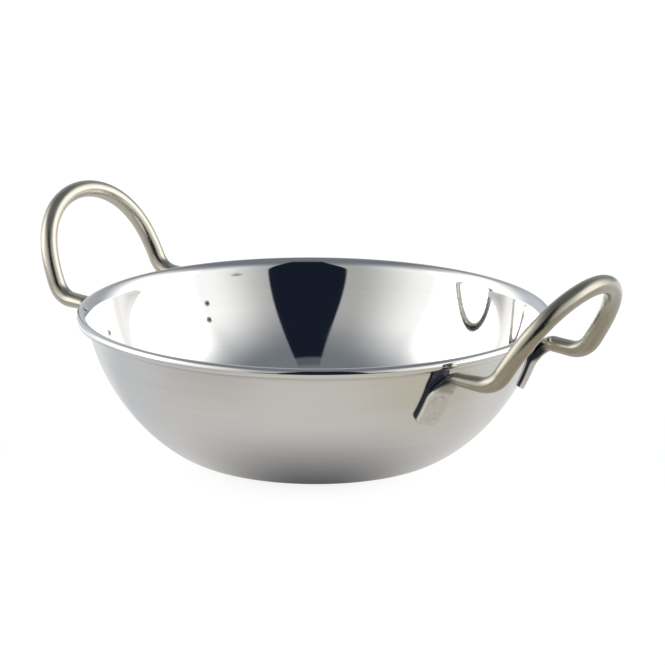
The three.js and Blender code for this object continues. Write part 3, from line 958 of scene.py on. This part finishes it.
def studio_world(stage):
    """White to the camera. To the dish, a soft lamp on each side, a dim ceiling and a dark opening in front.

    The light is worked out from a direction's azimuth, which is 0 at the studio's front and grows to the right, and
    its elevation, both in degrees.
    """
    world = bpy.data.worlds.new("studio")
    world.use_nodes = True
    tree = world.node_tree
    tree.nodes.clear()
    way = add_node(tree, "ShaderNodeTexCoord").outputs["Generated"]
    height = add_node(tree, "ShaderNodeSeparateXYZ", {0: way}).outputs["Z"]
    azimuth = bearings(tree, way)
    elevation = maths(tree, "DEGREES", maths(tree, "ARCSINE", height))
    round_it = maths(tree, "ABSOLUTE", azimuth)
    slope = maths(tree, "ADD", ramp(tree, azimuth, -20.0, -68.0), ramp(tree, azimuth, 19.0, 63.0))
    front = maths(tree, "MULTIPLY_ADD", slope, stage.side_light - stage.front_light, stage.front_light)
    lamps = maths(tree, "MULTIPLY", ramp(tree, round_it, 64.0, 86.0), ramp(tree, elevation, 54.0, 38.0))
    sides = maths(tree, "MULTIPLY_ADD", lamps, stage.lamp_light - stage.side_light, front)
    aside = maths(tree, "SINE", maths(tree, "RADIANS", azimuth))
    behind = blend(tree, ramp(tree, aside, -0.5, 0.5), colour4(BACKDROP_LEFT), colour4(BACKDROP_RIGHT))
    back = blend(tree, ramp(tree, elevation, 12.0, 46.0), behind, colour4(stage.back_colour))
    low = blend(tree, ramp(tree, round_it, 98.0, 148.0), sides, back)
    tilted = maths(tree, "ADD", elevation, line(tree, azimuth, -30.0, 30.0, 0.0, 5.0))
    light = blend(tree, ramp(tree, tilted, 32.0, 67.0), low, colour4(stage.top_colour))
    foot = line(tree, elevation, 0.0, 8.0, 14.0, 0.0)
    left_edge = maths(tree, "SUBTRACT", ramp(tree, elevation, 8.0, 84.0, -17.2, -6.0), foot)
    right_edge = maths(tree, "ADD", ramp(tree, elevation, 8.0, 80.0, 24.9, 20.2), foot)
    gap = maths(tree, "MULTIPLY", ramp(tree, maths(tree, "SUBTRACT", azimuth, left_edge), -0.5, 0.5),
                ramp(tree, maths(tree, "SUBTRACT", right_edge, azimuth), -0.5, 0.5))
    grey_top = ramp(tree, elevation, 72.0, 68.0, 0.0, 0.45)
    top = maths(tree, "MULTIPLY_ADD", ramp(tree, elevation, 65.5, 63.5), 0.55, grey_top)
    light = blend(tree, maths(tree, "MULTIPLY", gap, top), light, colour4(stage.opening_colour))
    studio = add_node(tree, "ShaderNodeBackground", {"Color": light})
    white = add_node(tree, "ShaderNodeBackground", {"Color": (1.0, 1.0, 1.0, 1.0)})
    seen = add_node(tree, "ShaderNodeLightPath").outputs["Is Camera Ray"]
    mixed = add_node(tree, "ShaderNodeMixShader", {0: seen, 1: studio.outputs[0], 2: white.outputs[0]})
    add_node(tree, "ShaderNodeOutputWorld", {0: mixed.outputs[0]})
    return world


class DISH_OT_stage(bpy.types.Operator):
    """Build the table, the studio's light and the camera"""

    bl_idname = "dish.stage"
    bl_label = "Stage"

    def execute(self, context):
        scene = context.scene
        stage = scene.dish_stage
        scene.view_settings.view_transform = "Standard"
        camera = bpy.data.objects.new("camera", bpy.data.cameras.new("camera"))
        scene.collection.objects.link(camera)
        camera.data.lens = CAMERA_LENS
        camera.data.sensor_width = SENSOR_WIDTH
        camera.data.clip_end = 50
        camera.location = (CAMERA_REACH * math.sin(CAMERA_TURN), -CAMERA_REACH * math.cos(CAMERA_TURN),
                           CAMERA_HEIGHT)
        turn = Matrix.Rotation(CAMERA_TURN - CAMERA_YAW, 3, "Z")
        tilt = Matrix.Rotation(math.pi / 2 - CAMERA_PITCH, 3, "X")
        camera.rotation_euler = (turn @ tilt @ Matrix.Rotation(CAMERA_ROLL, 3, "Z")).to_euler()
        scene.camera = camera
        corners = TABLE_REACH * np.array([[-1, -1, 0], [1, -1, 0], [1, 1, 0], [-1, 1, 0]]) - (0, 0, TABLE_DROP)
        floor = put_mesh("table", corners, [np.array([[0, 1, 2, 3]])], {})
        floor.data.materials.append(floor_material(stage))
        scene.world = studio_world(stage)
        return {"FINISHED"}


class DISH_PT_panel(bpy.types.Panel):
    """The dish's sizes, finish and steps"""

    bl_idname = "DISH_PT_panel"
    bl_label = "Balti dish"
    bl_space_type = "VIEW_3D"
    bl_region_type = "UI"
    bl_category = "Dish"

    def draw(self, context):
        for group in (context.scene.dish_sizes, context.scene.dish_finish, context.scene.dish_stage):
            box = self.layout.box()
            for key in group.__annotations__:
                box.prop(group, key)
        for operator in STEPS:
            self.layout.operator(operator.bl_idname)


STEPS = (DISH_OT_bowl, DISH_OT_handles, DISH_OT_welds, DISH_OT_stage)
GROUPS = {"dish_sizes": DishSizes, "dish_finish": DishFinish, "dish_stage": DishStage}


def register():
    for made in (*GROUPS.values(), *STEPS, DISH_PT_panel):
        bpy.utils.register_class(made)
    for key, group in GROUPS.items():
        setattr(bpy.types.Scene, key, bpy.props.PointerProperty(type=group))


def unregister():
    for key in GROUPS:
        delattr(bpy.types.Scene, key)
    for made in (DISH_PT_panel, *reversed(STEPS), *reversed(GROUPS.values())):
        bpy.utils.unregister_class(made)


def main():
    register()
    bpy.ops.dish.bowl()
    bpy.ops.dish.handles()
    bpy.ops.dish.welds()
    bpy.ops.dish.stage()


if __name__ == "__main__":
    main()
